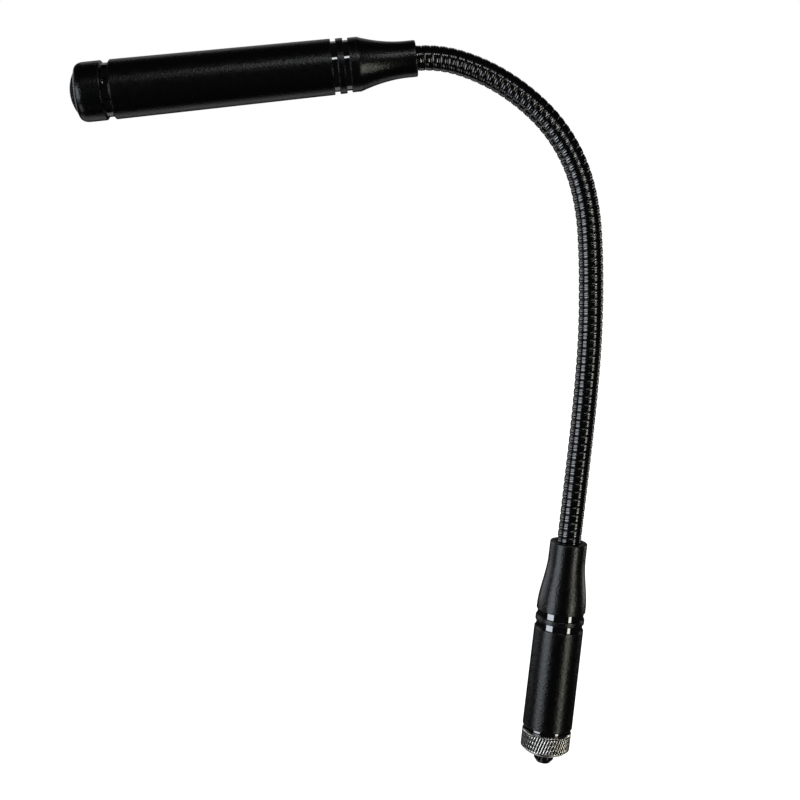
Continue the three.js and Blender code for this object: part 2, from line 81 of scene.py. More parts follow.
# ---- neck route, as in the CAD: equal arcs from the base boot to the head boot ----
SEGMENT_LENGTH = 14.64
REST_BENDS_DEG = (0, 0, 1, 1, 3, 2, 3, 10.5, 16, 16, 12.5, 14, 22.5)
NECK_RADIUS = 4.0
NECK_STUB = 6.0  # how far the visible coil runs inside each boot
HEAD_SETBACK = 0.6  # how far the head boot reaches back over the last neck segment

# ---- finish of the turned pieces ----
SIDES = 128
CHAMFER = 0.25
SOFT_EDGE = 0.15  # a smaller fillet, for lips and bevels
ARC_STEPS = 5  # steps in one fillet
FILLET_SHARE = 0.45  # the most of a side that one fillet may take
GUARD = 0.5  # how far from a fillet its wear fades out
GUARD_SHARE = 0.48  # the most of a side that a fillet and its fading may take
SEAT = 0.3  # how far a glossy core runs on past its groove, into its neighbours
TRIM = 0.05  # a small step that keeps two faces apart
SHARP_DEG = 30  # corners sharper than this keep their edge
MERGE = 1e-6  # metres
SLIVER = 1e-7  # metres


# ---------------------------------------------------------------- places
def along_arc(start, distance, bend):
    """The place and heading at a distance along an arc, from a start (x, z, heading)."""
    x, z, heading = start
    turn = bend * distance / SEGMENT_LENGTH
    half = heading + turn / 2
    chord = distance if abs(turn) < 1e-9 else distance * math.sin(turn / 2) / (turn / 2)
    return x - chord * math.sin(half), z + chord * math.cos(half), heading + turn


def neck_stations():
    """Where each neck segment starts, and where the last one ends."""
    places = [(0.0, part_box("base_boot")[1].z / MM, 0.0)]
    for bend in REST_BENDS_DEG:
        places.append(along_arc(places[-1], SEGMENT_LENGTH, math.radians(bend)))
    return places


STATIONS = neck_stations()
NECK_LENGTH = SEGMENT_LENGTH * len(REST_BENDS_DEG)


def on_neck(distance):
    """The place and heading at a distance along the whole neck, straight past its ends."""
    inside = min(max(distance, 0.0), NECK_LENGTH)
    index = min(int(inside / SEGMENT_LENGTH), len(REST_BENDS_DEG) - 1)
    bend = math.radians(REST_BENDS_DEG[index])
    x, z, heading = along_arc(STATIONS[index], inside - index * SEGMENT_LENGTH, bend)
    past = distance - inside
    return x - past * math.sin(heading), z + past * math.cos(heading), heading


def turning_frame(station):
    """The matrix that takes a piece turned about Z, in millimetres, to its place in metres."""
    x, z, heading = station
    place = Matrix.Translation(Vector((x, 0, z)) * MM)
    return place @ Matrix.Rotation(-heading, 4, "Y") @ Matrix.Scale(MM, 4)


BASE = turning_frame((0.0, 0.0, 0.0))
HEAD = turning_frame(STATIONS[-1]) @ Matrix.Translation((0, 0, -HEAD_SETBACK))


def span(node, place):
    """A CAD node's lowest and highest height along its axis, and its outer radius, in millimetres."""
    back = place.inverted()
    points = [back @ v.co for v in bpy.data.objects[node].data.vertices]
    heights = [p.z for p in points]
    return min(heights), max(heights), max(math.hypot(p.x, p.y) for p in points)


# ---------------------------------------------------------------- mesh making
def finished(name, verts, faces, place, body, material, replaces=(), marks=None):
    """Makes a piece from millimetre points, gives it its body and material, and hides the CAD nodes it
    replaces.
    """
    mesh = bpy.data.meshes.new(name)
    mesh.from_pydata([place @ Vector(v) for v in verts], [], faces)
    for label, values in (marks or {}).items():
        layer = mesh.attributes.new(label, "FLOAT", "POINT")
        layer.data.foreach_set("value", values)
    work = bmesh.new()
    work.from_mesh(mesh)
    bmesh.ops.remove_doubles(work, verts=work.verts, dist=MERGE)
    bmesh.ops.dissolve_degenerate(work, edges=work.edges, dist=SLIVER)
    bmesh.ops.recalc_face_normals(work, faces=work.faces)
    work.to_mesh(mesh)
    work.free()
    mesh.polygons.foreach_set("use_smooth", [True] * len(mesh.polygons))
    mesh.materials.append(material)
    piece = bpy.data.objects.new(name, mesh)
    bpy.context.scene.collection.objects.link(piece)
    if body:
        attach(piece, body)
    if replaces:
        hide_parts(*replaces)
    return piece


def rounded(corners):
    """Turns corners of (radius, height, fillet) into a fine outline of (radius, height, edge mark)."""
    rows = []
    for i, (r, z, fillet) in enumerate(corners):
        if fillet == 0:
            rows.append((r, z, 0.0))
            continue
        here = Vector((r, z))
        before = Vector(corners[i - 1][:2]) - here
        after = Vector(corners[(i + 1) % len(corners)][:2]) - here
        opening = before.angle(after)
        reach = min(fillet / math.tan(opening / 2), before.length * FILLET_SHARE, after.length * FILLET_SHARE)
        guard_in = min(reach + GUARD, before.length * GUARD_SHARE)
        guard_out = min(reach + GUARD, after.length * GUARD_SHARE)
        before.normalize()
        after.normalize()
        rows.append((*(here + before * guard_in), 0.0))
        for k in range(ARC_STEPS + 1):
            t = k / ARC_STEPS
            curve = here + before * reach * (1 - t) ** 2 + after * reach * t ** 2
            rows.append((*curve, 1.0))
        rows.append((*(here + after * guard_out), 0.0))
    return rows


def ring_faces(rows, sides, closed=True):
    """The faces between rings of points. A closed outline joins its last ring to its first."""
    faces = []
    for i in range(rows if closed else rows - 1):
        low, high = i * sides, (i + 1) % rows * sides
        for j in range(sides):
            k = (j + 1) % sides
            faces.append((low + j, low + k, high + k, high + j))
    return faces


def turned(name, corners, place, body, material, replaces=(), sides=SIDES, closed=True):
    """A piece turned about its axis. Fillets soften its corners, and mark them for edge wear. An outline
    that isn't closed starts and ends on the axis."""
    rows = rounded(corners)
    verts, edge = [], []
    for r, z, mark in rows:
        for j in range(sides):
            a = 2 * math.pi * j / sides
            verts.append((r * math.cos(a), r * math.sin(a), z))
            edge.append(mark)
    faces = ring_faces(len(rows), sides, closed)
    piece = finished(name, verts, faces, place, body, material, replaces, {"edge": edge})
    piece.data.set_sharp_from_angle(angle=math.radians(SHARP_DEG))
    return piece


def relief(name, rows, sides, place, body, material, shape, replaces=()):
    """A turned piece whose outline rows are (radius, height, share). The cut shape(angle, height) times
    the share is taken off the radius. Its depth mark runs from 0 on the surface to 1 in the cuts."""
    verts, depth = [], []
    for r, z, share in rows:
        for j in range(sides):
            a = 2 * math.pi * j / sides
            cut = share * shape(a, z) if share else 0.0
            verts.append(((r - cut) * math.cos(a), (r - cut) * math.sin(a), z))
            depth.append(cut)
    deepest = max(depth)
    faces = ring_faces(len(rows), sides)
    marks = {"depth": [d / deepest for d in depth], "edge": [0.0] * len(depth)}
    return finished(name, verts, faces, place, body, material, replaces, marks)


def between(low, high, steps):
    """Evenly spaced numbers from low to high."""
    return [low + (high - low) * i / steps for i in range(steps + 1)]


# ---------------------------------------------------------------- materials
class Paint:
    """A helper that builds a Principled material out of noise, marks and mixes."""

    def __init__(self, name):
        self.material = bpy.data.materials.new(name)
        self.material.use_nodes = True
        self.tree = self.material.node_tree
        self.shader = self.tree.nodes["Principled BSDF"]
        self.coords = self.tree.nodes.new("ShaderNodeTexCoord").outputs["Object"]

    def link(self, value, socket):
        """Joins another node's output to a socket, or sets the socket to a plain value."""
        if isinstance(value, bpy.types.NodeSocket):
            self.tree.links.new(value, socket)
        else:
            socket.default_value = value

    def set(self, **values):
        """Sets or links the shader's sockets by name, with _ for a space."""
        for label, value in values.items():
            self.link(value, self.shader.inputs[label.replace("_", " ")])
        return self

    def noise(self, grain, detail=3.0, stretch=(1, 1, 1)):
        """Noise whose blotches are about grain millimetres across, before the stretch."""
        node = self.tree.nodes.new("ShaderNodeTexNoise")
        node.inputs["Scale"].default_value = 1 / (grain * MM)
        node.inputs["Detail"].default_value = detail
        if stretch == (1, 1, 1):
            self.link(self.coords, node.inputs["Vector"])
        else:
            scale = self.tree.nodes.new("ShaderNodeVectorMath")
            scale.operation = "MULTIPLY"
            self.link(self.coords, scale.inputs[0])
            scale.inputs[1].default_value = stretch
            self.link(scale.outputs[0], node.inputs["Vector"])
        return node.outputs["Fac"]

    def cells(self, grain):
        """Cells about grain millimetres across, as the distance from each cell's middle."""
        node = self.tree.nodes.new("ShaderNodeTexVoronoi")
        node.inputs["Scale"].default_value = 1 / (grain * MM)
        self.link(self.coords, node.inputs["Vector"])
        return node.outputs["Distance"]

    def mark(self, label):
        """A mark that the mesh carries, such as edge or depth."""
        node = self.tree.nodes.new("ShaderNodeAttribute")
        node.attribute_name = label
        return node.outputs["Fac"]

    def remap(self, value, low, high, to_low=0.0, to_high=1.0):
        """Stretches the range low to high over the range to_low to to_high, and clamps it there."""
        node = self.tree.nodes.new("ShaderNodeMapRange")
        self.link(value, node.inputs["Value"])
        ends = {"From Min": low, "From Max": high, "To Min": to_low, "To Max": to_high}
        for label, number in ends.items():
            node.inputs[label].default_value = number
        return node.outputs["Result"]

    def math(self, operation, a, b):
        """A sum, product or other operation on two values."""
        node = self.tree.nodes.new("ShaderNodeMath")
        node.operation = operation
        self.link(a, node.inputs[0])
        self.link(b, node.inputs[1])
        return node.outputs[0]

    def mix(self, share, a, b):
        """A colour between a and b, which are colours or other nodes' outputs."""
        node = self.tree.nodes.new("ShaderNodeMix")
        node.data_type = "RGBA"
        self.link(share, node.inputs["Factor"])
        self.link(a if isinstance(a, bpy.types.NodeSocket) else (*a, 1), node.inputs["A"])
        self.link(b if isinstance(b, bpy.types.NodeSocket) else (*b, 1), node.inputs["B"])
        return node.outputs["Result"]

    def bump(self, height, depth, strength=1.0, under=None):
        """Bump of a depth in millimetres, over another bump where one is given."""
        node = self.tree.nodes.new("ShaderNodeBump")
        node.inputs["Strength"].default_value = strength
        node.inputs["Distance"].default_value = depth * MM
        self.link(height, node.inputs["Height"])
        if under:
            self.link(under, node.inputs["Normal"])
        self.link(node.outputs["Normal"], self.shader.inputs["Normal"])
        return node.outputs["Normal"]


def satin_black():
    """Satin black paint over a blasted surface: a fine pebble grain, and edges rubbed a little paler."""
    p = Paint("satin_black")
    blotch = p.noise(6.0, 2.0)
    worn = p.math("MULTIPLY", p.mark("edge"), p.remap(p.noise(1.2, 4.0), 0.42, 0.7))
    colour = p.mix(blotch, (0.0008, 0.0008, 0.001), (0.0018, 0.0018, 0.0021))
    colour = p.mix(p.math("MULTIPLY", worn, 0.5), colour, (0.035, 0.035, 0.036))
    p.set(Base_Color=colour, Roughness=p.remap(p.noise(2.2, 4.0), 0.3, 0.7, 0.25, 0.31))
    p.set(Specular_IOR_Level=0.5)
    pebbles = p.bump(p.cells(0.6), 0.06, 0.7)
    p.bump(p.noise(0.3, 3.0), 0.035, 0.7, pebbles)
    return p.material


def gloss_black():
    """Polished black chrome with faint lathe lines."""
    p = Paint("gloss_black")
    lines = p.noise(0.5, 2.0, (0.2, 0.2, 6.0))
    p.set(Base_Color=p.mix(p.noise(3.0), (0.14, 0.14, 0.145), (0.2, 0.2, 0.205)), Metallic=1.0)
    p.set(Roughness=p.remap(lines, 0.3, 0.7, 0.05, 0.1))
    p.bump(lines, 0.004, 0.4)
    return p.material


def coil_black():
    """Blackened spring wire: glossy on the crests, and down in the grooves duller and painted darker, as
    painted shade.
    """
    p = Paint("coil_black")
    depth = p.mark("depth")
    wire = p.mix(p.noise(2.0, 3.0), (0.1, 0.1, 0.105), (0.17, 0.17, 0.175))
    # the grooves are painted darker here: painted shade in the creases between turns
    groove_shade = p.math("MULTIPLY", depth, p.remap(p.noise(0.8, 3.0), 0.4, 0.7, 0.6, 1.0))
    sheen = p.remap(p.noise(0.7, 4.0), 0.3, 0.7, 0.08, 0.14)
    rough = p.math("ADD", sheen, p.math("MULTIPLY", depth, 0.2))
    p.set(Base_Color=p.mix(groove_shade, wire, (0.012, 0.0115, 0.011)), Roughness=rough, Metallic=1.0)
    p.bump(p.noise(0.3, 3.0), 0.004, 0.5)
    return p.material


def knurled_nickel():
    """Bright nickel on the knurl's crests; its cuts are painted near black, partly blackened grime and partly
    painted shade.
    """
    p = Paint("knurled_nickel")
    # the cuts go near black: partly blackened grime, partly painted shade in the cuts
    dark = p.remap(p.mark("depth"), 0.1, 0.36)
    bright = p.mix(p.noise(0.9, 3.0), (0.82, 0.79, 0.74), (0.95, 0.93, 0.88))
    p.set(Base_Color=p.mix(dark, bright, (0.006, 0.0055, 0.005)), Metallic=p.remap(dark, 0, 1, 1.0, 0.2))
    sheen = p.remap(p.noise(0.4, 3.0), 0.3, 0.7, 0.13, 0.22)
    p.set(Roughness=p.math("ADD", sheen, p.math("MULTIPLY", dark, 0.45)))
    p.bump(p.noise(0.15, 3.0), 0.006, 0.4)
    return p.material


def plated(name, low, high, roughness):
    """A plated metal with turning lines."""
    p = Paint(name)
    lines = p.noise(0.4, 3.0, (0.3, 0.3, 4.0))
    p.set(Base_Color=p.mix(p.noise(1.5), low, high), Metallic=1.0)
    p.set(Roughness=p.remap(lines, 0.3, 0.7, roughness, roughness + 0.12))
    p.bump(lines, 0.005, 0.4)
    return p.material


def moulded(name, low, high, roughness, grain=0.25, depth=0.01):
    """A moulded, cast or dipped material with a fine grain."""
    p = Paint(name)
    p.set(Base_Color=p.mix(p.noise(2.0), low, high))
    p.set(Roughness=p.remap(p.noise(1.0, 4.0), 0.3, 0.7, roughness - 0.05, roughness + 0.1))
    p.bump(p.noise(grain, 4.0), depth, 0.6)
    return p.material


def foam():
    """Open cell foam: its pores are painted darker than the paler strands, as painted shade in the holes."""
    p = Paint("foam")
    pores = p.cells(0.7)
    # the pores' darker colour is painted shade inside the holes
    colour = p.mix(p.remap(pores, 0.2, 0.6), (0.006, 0.006, 0.006), (0.035, 0.035, 0.035))
    p.set(Base_Color=colour, Roughness=0.95)
    p.bump(pores, 0.3, 0.9)
    return p.material


def board_green():
    """Solder mask over faint raised tracks."""
    p = Paint("board_green")
    tracks = p.remap(p.noise(1.4, 0.0, (1, 0.2, 3)), 0.48, 0.52)
    p.set(Base_Color=p.mix(tracks, (0.012, 0.09, 0.035), (0.02, 0.15, 0.06)), Roughness=0.3)
    p.bump(tracks, 0.03, 0.6)
    return p.material


SATIN = satin_black()
GLOSS = gloss_black()
COIL = coil_black()
KNURL = knurled_nickel()
NICKEL = plated("bright_nickel", (0.45, 0.43, 0.4), (0.6, 0.58, 0.54), 0.05)
GRILLE = plated("grille_wire", (0.012, 0.012, 0.013), (0.03, 0.03, 0.032), 0.4)
GOLD = plated("gold_flash", (0.62, 0.42, 0.14), (0.78, 0.56, 0.22), 0.2)
STEEL = plated("dark_steel", (0.06, 0.06, 0.062), (0.12, 0.12, 0.12), 0.35)
CAN = plated("capacitor_can", (0.35, 0.35, 0.36), (0.5, 0.5, 0.5), 0.3)
PLASTIC = moulded("black_plastic", (0.006, 0.006, 0.007), (0.014, 0.014, 0.015), 0.35)
RUBBER = moulded("black_rubber", (0.01, 0.01, 0.01), (0.02, 0.02, 0.02), 0.75, 0.2, 0.02)
NOSE = moulded("nose_plastic", (0.006, 0.006, 0.007), (0.012, 0.012, 0.013), 0.15, 0.4, 0.006)
BLUE_DIP = moulded("blue_dip", (0.01, 0.02, 0.09), (0.02, 0.04, 0.14), 0.3, 0.6, 0.02)
RED_SHEATH = moulded("red_sheath", (0.25, 0.015, 0.01), (0.35, 0.03, 0.02), 0.45)
WHITE_SHEATH = moulded("white_sheath", (0.6, 0.59, 0.55), (0.75, 0.74, 0.7), 0.45)
FOAM = foam()
BOARD = board_green()


# ---------------------------------------------------------------- gooseneck
COIL_PITCH = 2.65
COIL_SIDES = 48
COIL_ROWS = 24  # rows of points in one turn
COIL_GROOVE = 0.24  # depth of the groove between turns
COIL_CROWN = 3.0  # how squarely each turn is crowned
COIL_RIDGES = 3  # fine ridges on each turn
COIL_RIDGE_DEPTH = 0.1


def coil_depth(share):
    """How far below the neck's outer radius the coil's surface lies, at a share of one turn."""
    off = 2 * (share % 1.0) - 1
    ridge = (1 - math.cos(math.pi * COIL_RIDGES * off)) / 2
    return COIL_GROOVE * abs(off) ** COIL_CROWN + COIL_RIDGE_DEPTH * ridge


def coil_stretch(start, end):
    """The coil's surface between two distances along the neck. Its rows follow the helix, cut square at
    both ends, so that neighbouring stretches meet edge to edge."""
    first = math.floor(start / COIL_PITCH) - 1
    turns = math.ceil(end / COIL_PITCH) + 1 - first
    total = (turns + 1) * COIL_ROWS
    verts, depths = [], []
    for row in range(total):
        for j in range(COIL_SIDES):
            share = j / COIL_SIDES
            distance = COIL_PITCH * (first + row / COIL_ROWS + share)
            cut = min(max(distance, start), end)
            depth = coil_depth(cut / COIL_PITCH - share)
            x, z, heading = on_neck(cut)
            angle = 2 * math.pi * share
            across = (NECK_RADIUS - depth) * math.cos(angle)
            y = (NECK_RADIUS - depth) * math.sin(angle)
            verts.append((x + across * math.cos(heading), y, z + across * math.sin(heading)))
            depths.append(depth / (COIL_GROOVE + COIL_RIDGE_DEPTH))
    faces = []
    for row in range(total - 1):
        for j in range(COIL_SIDES):
            wrap = COIL_ROWS if j == COIL_SIDES - 1 else 0
            if row + 1 + wrap >= total:
                continue
            k = (j + 1) % COIL_SIDES
            face = (row * COIL_SIDES + j, (row + wrap) * COIL_SIDES + k,
                    (row + 1 + wrap) * COIL_SIDES + k, (row + 1) * COIL_SIDES + j)
            faces.append(face)
    return verts, faces, depths


def neck_bodies():
    """The bodies from the base to the head, in order, one for each neck segment."""
    count = len(REST_BENDS_DEG)
    return ["base"] + [f"neck_{i:02d}" for i in range(2, count)] + ["head"]


def make_neck():
    """The coil, in stretches from the middle of one neck body to the middle of the next. The first rides
    on the base, the last on the head, and the others each span a joint and belong to no body."""
    bodies = neck_bodies()
    count = len(bodies)
    scale = Matrix.Scale(MM, 4)
    cuts = [-NECK_STUB] + [(i + 0.5) * SEGMENT_LENGTH for i in range(count)] + [NECK_LENGTH + NECK_STUB]
    for i, (start, end) in enumerate(zip(cuts, cuts[1:])):
        verts, faces, depths = coil_stretch(start, end)
        body = bodies[0] if i == 0 else bodies[-1] if i == count else None
        nodes = [f"neck_segment_{i + 1:02d}"] if i < count else []
        marks = {"depth": depths, "edge": [0.0] * len(depths)}
        piece = finished(f"neck_coil_{i + 1:02d}", verts, faces, scale, body, COIL, nodes, marks)
        if body is None:
            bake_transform(piece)


# ---------------------------------------------------------------- shared by the base and the head
CABLE_BORE = 2.6
BOOT_MOUTH = 4.3  # radius of a boot's mouth, round the coil
BOOT_MOUTH_DEPTH = 2.5
BOOT_HOLLOW = 5.2  # radius inside a boot, behind its mouth
BOOT_END_FILLET = 0.5
FLARE_STEPS = 28


def smooth(t):
    """Eases from 0 to 1."""
    return t * t * (3 - 2 * t)


def make_band(name, node, bore, place, body):
    """A trim band between two grooves."""
    low, high, radius = span(node, place)
    turned(name, [
        (bore, low, 0), (radius, low, CHAMFER), (radius, high, CHAMFER), (bore, high, 0),
    ], place, body, SATIN, [node])


# ---------------------------------------------------------------- base
BASE_BORE = 7.2
BASE_TOP_RADIUS = 8.2
BASE_SPIGOT = 6.9  # radius of the couplings inside the base tube and the boot's skirt
BASE_CORE = 7.7  # radius of the glossy core in the grooves
BASE_CORE_LENGTH = 7.0  # how far the core's spigot goes down into the tube
BASE_CORE_TOP = 6.6
BASE_CORE_TOP_LENGTH = 4.7
BASE_BOOT_NECK = 6.2
BASE_BOOT_RIM = 0.9  # straight length below the flare
BASE_BOOT_COLLAR = 5.5  # straight length above the flare
BASE_SOCKET_DEPTH = 5.0


def make_base():
    """The base tube, its band, its flared boot and the core in its grooves, from the bottom up."""
    low, high, radius = span("base_tube", BASE)
    turned("base_tube_shell", [
        (BASE_BORE, low, 0), (radius - TRIM, low, CHAMFER), (BASE_TOP_RADIUS, high, CHAMFER),
        (BASE_BORE, high, 0),
    ], BASE, "base", SATIN, ["base_tube"])

    make_band("base_band", "base_trim_band", BASE_BORE, BASE, "base")

    boot_low, boot_high, boot_radius = span("base_boot", BASE)
    flare = []
    for z in between(boot_low + BASE_BOOT_RIM, boot_high - BASE_BOOT_COLLAR, FLARE_STEPS):
        share = len(flare) / FLARE_STEPS
        flare.append((boot_radius + (BASE_BOOT_NECK - boot_radius) * smooth(share), z, 0))
    turned("base_boot_shell", [
        (BASE_SPIGOT, boot_low, 0), (boot_radius, boot_low, CHAMFER), *flare,
        (BASE_BOOT_NECK - TRIM, boot_high, BOOT_END_FILLET), (BOOT_MOUTH, boot_high, SOFT_EDGE),
        (BOOT_MOUTH, boot_high - BOOT_MOUTH_DEPTH, 0), (BOOT_HOLLOW, boot_high - BOOT_MOUTH_DEPTH, 0),
        (BOOT_HOLLOW, boot_low + BASE_SOCKET_DEPTH, 0), (BASE_SPIGOT, boot_low + BASE_SOCKET_DEPTH, 0),
    ], BASE, "base", SATIN, ["base_boot"])

    core_low, core_high = high - BASE_CORE_LENGTH, boot_low + BASE_CORE_TOP_LENGTH
    turned("base_groove_core", [
        (CABLE_BORE, core_low, 0), (BASE_SPIGOT, core_low, 0), (BASE_SPIGOT, high - SEAT, 0),
        (BASE_CORE, high - SEAT, 0), (BASE_CORE, boot_low + SEAT, 0), (BASE_CORE_TOP, boot_low + SEAT, 0),
        (BASE_CORE_TOP, core_high, 0), (CABLE_BORE, core_high, 0),
    ], BASE, "base", GLOSS, ["base_coupler"])


# ---------------------------------------------------------------- plug and coupling ring
KNURL_COUNT = 52
KNURL_TURN_PER_MM = 0.31  # how many ridges a line leans across in one millimetre of height
KNURL_DEPTH = 0.42
KNURL_CROSS = 0.16  # depth of the second family of cuts, as a share of the first
KNURL_SIDES = KNURL_COUNT * 10
KNURL_ROWS = 44
KNURL_FADE = 0.3  # height over which the knurl runs out at its ends
KNURL_RIM = 0.45  # height of the plain rim above the knurl, and how far it stands in
KNURL_RIM_BASE = 0.42  # how far it stands in at its foot
RING_BORE = 6.6
RING_JOURNAL = 5.9  # radius of the bore round the plug's journal
RING_SHELF = 9.6  # height where the bore narrows to it
LIP_RADIUS = 6.9
LIP_HEIGHT = 1.2
LIP_EDGE = 0.1
LIP_SHOULDER = 0.2  # how far the lip's top edge stands in from the knurl
LIP_STEP = 0.35  # the same, above its fillet
LIP_BEVEL = 0.6  # height of the bevel inside the lip
THREAD_PITCH = 1.0
THREAD_DEPTH = 0.5
THREAD_ROWS = 60
THREAD_SIDES = 96
THREAD_WALL = 0.2


def knurl_cut(angle, height):
    """Two families of rounded cuts that cross, the first much deeper than the second."""
    around = KNURL_COUNT * angle / (2 * math.pi)
    first = abs(((around - KNURL_TURN_PER_MM * height) % 1.0) * 2 - 1)
    second = abs(((around + KNURL_TURN_PER_MM * height) % 1.0) * 2 - 1)
    return KNURL_DEPTH * max(first ** 2, KNURL_CROSS * second ** 3)


def thread_cut(angle, height):
    """A V thread, whose crests stand in to the ring's bore."""
    share = (height / THREAD_PITCH - angle / (2 * math.pi)) % 1.0
    return THREAD_DEPTH * (1 - abs(share * 2 - 1))


def make_ring():
    """The knurled coupling ring, with the bevelled lip at its foot and the thread inside."""
    low, high, radius = span("coupling_ring", BASE)
    lip, root = low + LIP_HEIGHT, RING_BORE + THREAD_DEPTH
    knurl_top = high - KNURL_RIM
    rows = [(root, lip, 0), (radius - KNURL_FADE, lip, 0)]
    for z in between(lip + TRIM, knurl_top, KNURL_ROWS):
        rows.append((radius, z, min(1.0, (z - lip) / KNURL_FADE, (knurl_top - z) / KNURL_FADE)))
    rows += [(radius - KNURL_RIM_BASE, knurl_top + TRIM, 0), (radius - KNURL_RIM, high, 0)]
    rows += [(RING_JOURNAL, high, 0), (RING_JOURNAL, RING_SHELF, 0), (root, RING_SHELF, 0)]
    relief("coupling_ring_knurl", rows, KNURL_SIDES, BASE, "ring", KNURL, knurl_cut,
           ["coupling_ring"])

    lip_top = lip + LIP_EDGE
    turned("coupling_ring_lip", [
        (RING_BORE, low, LIP_EDGE), (LIP_RADIUS, low, LIP_EDGE),
        (radius - LIP_SHOULDER, lip - LIP_EDGE, SOFT_EDGE), (radius - LIP_STEP, lip_top, 0),
        (root, lip_top, 0), (RING_BORE, low + LIP_BEVEL, 0),
    ], BASE, "ring", NICKEL)

    wall = [(root - TRIM, z, 1.0) for z in between(lip, RING_SHELF, THREAD_ROWS)]
    back = [(root + THREAD_WALL, RING_SHELF, 0), (root + THREAD_WALL, lip, 0)]
    relief("coupling_ring_thread", wall + back, THREAD_SIDES, BASE, "ring", NICKEL, thread_cut)


BARREL_BORE = 4.25
BARREL_TIP = 4.75
BARREL_RADIUS = 4.85
CLIP_GROOVE = 5.0  # radius of the step that the ring's clip sits against
CLIP_TOP = 8.3
JOURNAL_RADIUS = 5.6  # what the ring turns on
JOURNAL_BOTTOM = 9.3
COLLAR_RADIUS = 8.0
COLLAR_GAP = 0.12  # between the ring and the collar above it
NOSE_RADIUS = 3.3
NOSE_TIP_RADIUS = 2.3
NOSE_TAPER = 1.4  # height of its tapered end
NOSE_TIP_FILLET = 0.3
NOSE_FILLET = 0.4
NOSE_FLANGE = 4.1  # radius inside the barrel
NOSE_FLANGE_START = (-0.1, 0.4)  # from the barrel's end, where it widens to that
NOSE_SIDES = 96
CONTACT_RADIUS = 0.45
CONTACT_MOUTH = 0.36
CONTACT_THROAT = 0.27
CONTACT_BORE = 0.25
CONTACT_BOTTOM = 0.5
CONTACT_SINK = 0.1  # depth of the countersink
CONTACT_FILLET = 0.03
CONTACT_BORE_TOP = 1.6
CONTACT_TOP = 19.0
CONTACT_SIDES = 32
CONTACT_COUNT = 3
HOLE_RADIUS = 0.62  # the nose's hole round each contact
HOLE_TOP = 3.5
KEYWAY_SIZE = (2.4, 1.3, 4.2)  # through, across and up
KEYWAY_MIDDLE = 1.1  # height of its middle


def make_plug():
    """The glossy plug shell, and the keyed nose with its contacts."""
    low, high, _ = span("plug_shell", BASE)
    collar_low = span("coupling_ring", BASE)[1] + COLLAR_GAP
    collar_high = span("base_tube", BASE)[0] + SEAT
    turned("plug_shoulder", [
        (BARREL_BORE, low, 0), (BARREL_TIP, low, SOFT_EDGE), (BARREL_RADIUS, CLIP_TOP - TRIM, 0),
        (CLIP_GROOVE, CLIP_TOP, 0), (CLIP_GROOVE, JOURNAL_BOTTOM, 0),
        (JOURNAL_RADIUS, JOURNAL_BOTTOM + TRIM, 0), (JOURNAL_RADIUS, collar_low, 0),
        (COLLAR_RADIUS, collar_low, LIP_EDGE), (COLLAR_RADIUS, collar_high, 0),
        (BASE_SPIGOT, collar_high, 0), (BASE_SPIGOT, high, 0), (BARREL_BORE, high, 0),
    ], BASE, "base", GLOSS, ["plug_shell"])

    nose_low, nose_high, _ = span("plug_insulator", BASE)
    nose = turned("plug_nose", [
        (0, nose_low, 0), (NOSE_TIP_RADIUS, nose_low, NOSE_TIP_FILLET),
        (NOSE_RADIUS, NOSE_TAPER, NOSE_FILLET), (NOSE_RADIUS, low + NOSE_FLANGE_START[0], 0),
        (NOSE_FLANGE, low + NOSE_FLANGE_START[1], 0),
        (NOSE_FLANGE, nose_high, 0), (0, nose_high, 0),
    ], BASE, "base", NOSE, ["plug_insulator"], NOSE_SIDES, False)
    cutters = []
    for i in range(CONTACT_COUNT):
        contact_low, contact_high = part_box(f"plug_contact_{i + 1}")
        middle = (contact_low + contact_high) / 2
        cutters.append(cutter_rod(middle.x, middle.y, HOLE_RADIUS * MM, -MM, HOLE_TOP * MM))
        cutters.append(cutter_box(math.atan2(middle.y, middle.x) + math.pi / CONTACT_COUNT))
        contact(i + 1, middle)
    carve(nose, cutters)


def cutter_rod(x, y, radius, low, high):
    """A rod that cuts a contact's hole."""
    work = bmesh.new()
    place = Matrix.Translation((x, y, (low + high) / 2))
    bmesh.ops.create_cone(work, cap_ends=True, segments=CONTACT_SIDES, radius1=radius, radius2=radius,
                          depth=high - low, matrix=place)
    return work


def cutter_box(angle):
    """A block that cuts a keyway into the nose's side, from its end face up."""
    work = bmesh.new()
    place = Matrix.Rotation(angle, 4, "Z") @ Matrix.Translation((NOSE_RADIUS * MM, 0, KEYWAY_MIDDLE * MM))
    size = Matrix.Diagonal((*(side * MM for side in KEYWAY_SIZE), 1))
    bmesh.ops.create_cube(work, size=1.0, matrix=place @ size)
    return work


def carve(piece, cutters):
    """Cuts each tool out of the piece, and keeps the cut edges sharp."""
    for work in cutters:
        mesh = bpy.data.meshes.new("cutter")
        work.to_mesh(mesh)
        work.free()
        tool = bpy.data.objects.new("cutter", mesh)
        bpy.context.scene.collection.objects.link(tool)
        modifier = piece.modifiers.new("cut", "BOOLEAN")
        modifier.operation = "DIFFERENCE"
        modifier.object = tool
        graph = bpy.context.evaluated_depsgraph_get()
        result = bpy.data.meshes.new_from_object(piece.evaluated_get(graph))
        piece.modifiers.clear()
        piece.data = result
        bpy.data.objects.remove(tool)
        bpy.data.meshes.remove(mesh)
    piece.data.polygons.foreach_set("use_smooth", [True] * len(piece.data.polygons))
    piece.data.set_sharp_from_angle(angle=math.radians(SHARP_DEG))


